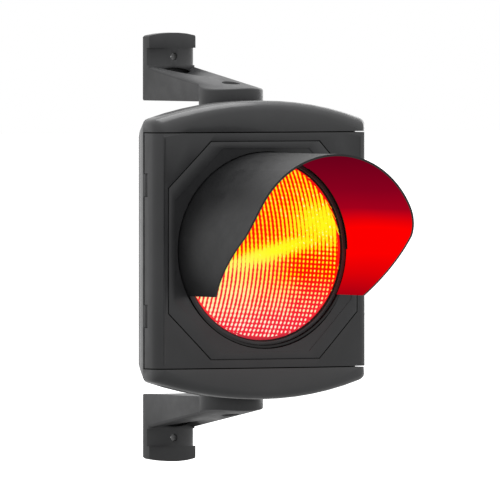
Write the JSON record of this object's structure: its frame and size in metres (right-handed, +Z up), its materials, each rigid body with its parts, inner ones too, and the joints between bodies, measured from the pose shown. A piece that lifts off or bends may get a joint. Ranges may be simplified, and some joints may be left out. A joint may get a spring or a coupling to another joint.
{
  "type": "traffic signal head",
  "caption": "Single round signal head with a cutaway visor and a hinged door, held between two swivelling pole brackets.",
  "frame": {"origin": "on the plane where both brackets meet the pole, midway between them in height", "axes": "+Z up, -Y the way the light shines, +X to the right when looking along +Y at the lens"},
  "size_m": [0.2743, 0.382, 0.4826],
  "materials": {
    "bracket_plastic": "fine matt grain, dark grey",
    "housing_plastic": "fine matt grain, anthracite",
    "visor_plastic": "fine matt grain, near black",
    "ring_plastic": "smooth mid grey",
    "black_rubber": "soft black",
    "red_lens": "red, moulded with a fine grid of small prisms",
    "clear_lens": "clear red, turned rings",
    "led_optic": "clear moulded domes",
    "bowl_plastic": "light grey",
    "white_board": "white solder mask",
    "green_board": "green solder mask",
    "cover_plastic": "black",
    "terminal_plastic": "pale grey",
    "steel": "plated"
  },
  "bodies": {
    "brackets": {"upper_bracket": "bracket_plastic", "lower_bracket": "bracket_plastic", "upper_pivot_bolt": "steel", "lower_pivot_bolt": "steel", "upper_pivot_washer": "steel", "lower_pivot_washer": "steel", "upper_pivot_nut": "steel", "lower_pivot_nut": "steel"},
    "head": {"breather": "black_rubber", "door_gasket": "black_rubber", "entry_plug": "black_rubber", "lower_catch_pin": "steel", "lower_hinge_pin": "steel", "lower_seat_disc": "black_rubber", "rear_housing": "housing_plastic", "terminal_block": "terminal_plastic", "terminal_rail": "steel", "terminal_screw_1": "steel", "terminal_screw_2": "steel", "terminal_screw_3": "steel", "terminal_screw_4": "steel", "terminal_screw_5": "steel", "upper_catch_pin": "steel", "upper_hinge_pin": "steel", "upper_seat_disc": "black_rubber"},
    "door_assembly": {"door": "housing_plastic", "bezel_panel": "housing_plastic", "visor": "visor_plastic", "lens_ring": "ring_plastic", "lens_seal": "black_rubber", "outer_lens": "red_lens", "inner_lens": "clear_lens", "optic_bowl": "bowl_plastic", "led_board": "white_board", "led_optics": "led_optic", "driver_cover": "cover_plastic", "driver_board": "green_board", "optic_screw_1": "steel", "optic_screw_2": "steel", "optic_screw_3": "steel", "optic_screw_4": "steel", "panel_screw_1": "steel", "panel_screw_2": "steel", "panel_screw_3": "steel", "panel_screw_4": "steel"},
    "upper_latch_body": {"upper_latch": "steel"},
    "lower_latch_body": {"lower_latch": "steel"}
  },
  "joints": [
    {"name": "head_swivel", "type": "hinge", "parent": "brackets", "child": "head", "pos_m": [0, -0.1465, 0], "axis": [0, 0, 1], "range_deg": [-75, 75]},
    {"name": "door_hinge", "type": "hinge", "parent": "head", "child": "door_assembly", "pos_m": [-0.132, -0.1935, 0], "axis": [0, 0, -1], "range_deg": [0, 90]},
    {"name": "upper_latch_turn", "type": "hinge", "parent": "door_assembly", "child": "upper_latch_body", "pos_m": [0.12, -0.203, 0.073], "axis": [1, 0, 0], "range_deg": [0, 90]},
    {"name": "lower_latch_turn", "type": "hinge", "parent": "door_assembly", "child": "lower_latch_body", "pos_m": [0.12, -0.203, -0.073], "axis": [-1, 0, 0], "range_deg": [0, 90]}
  ]
}
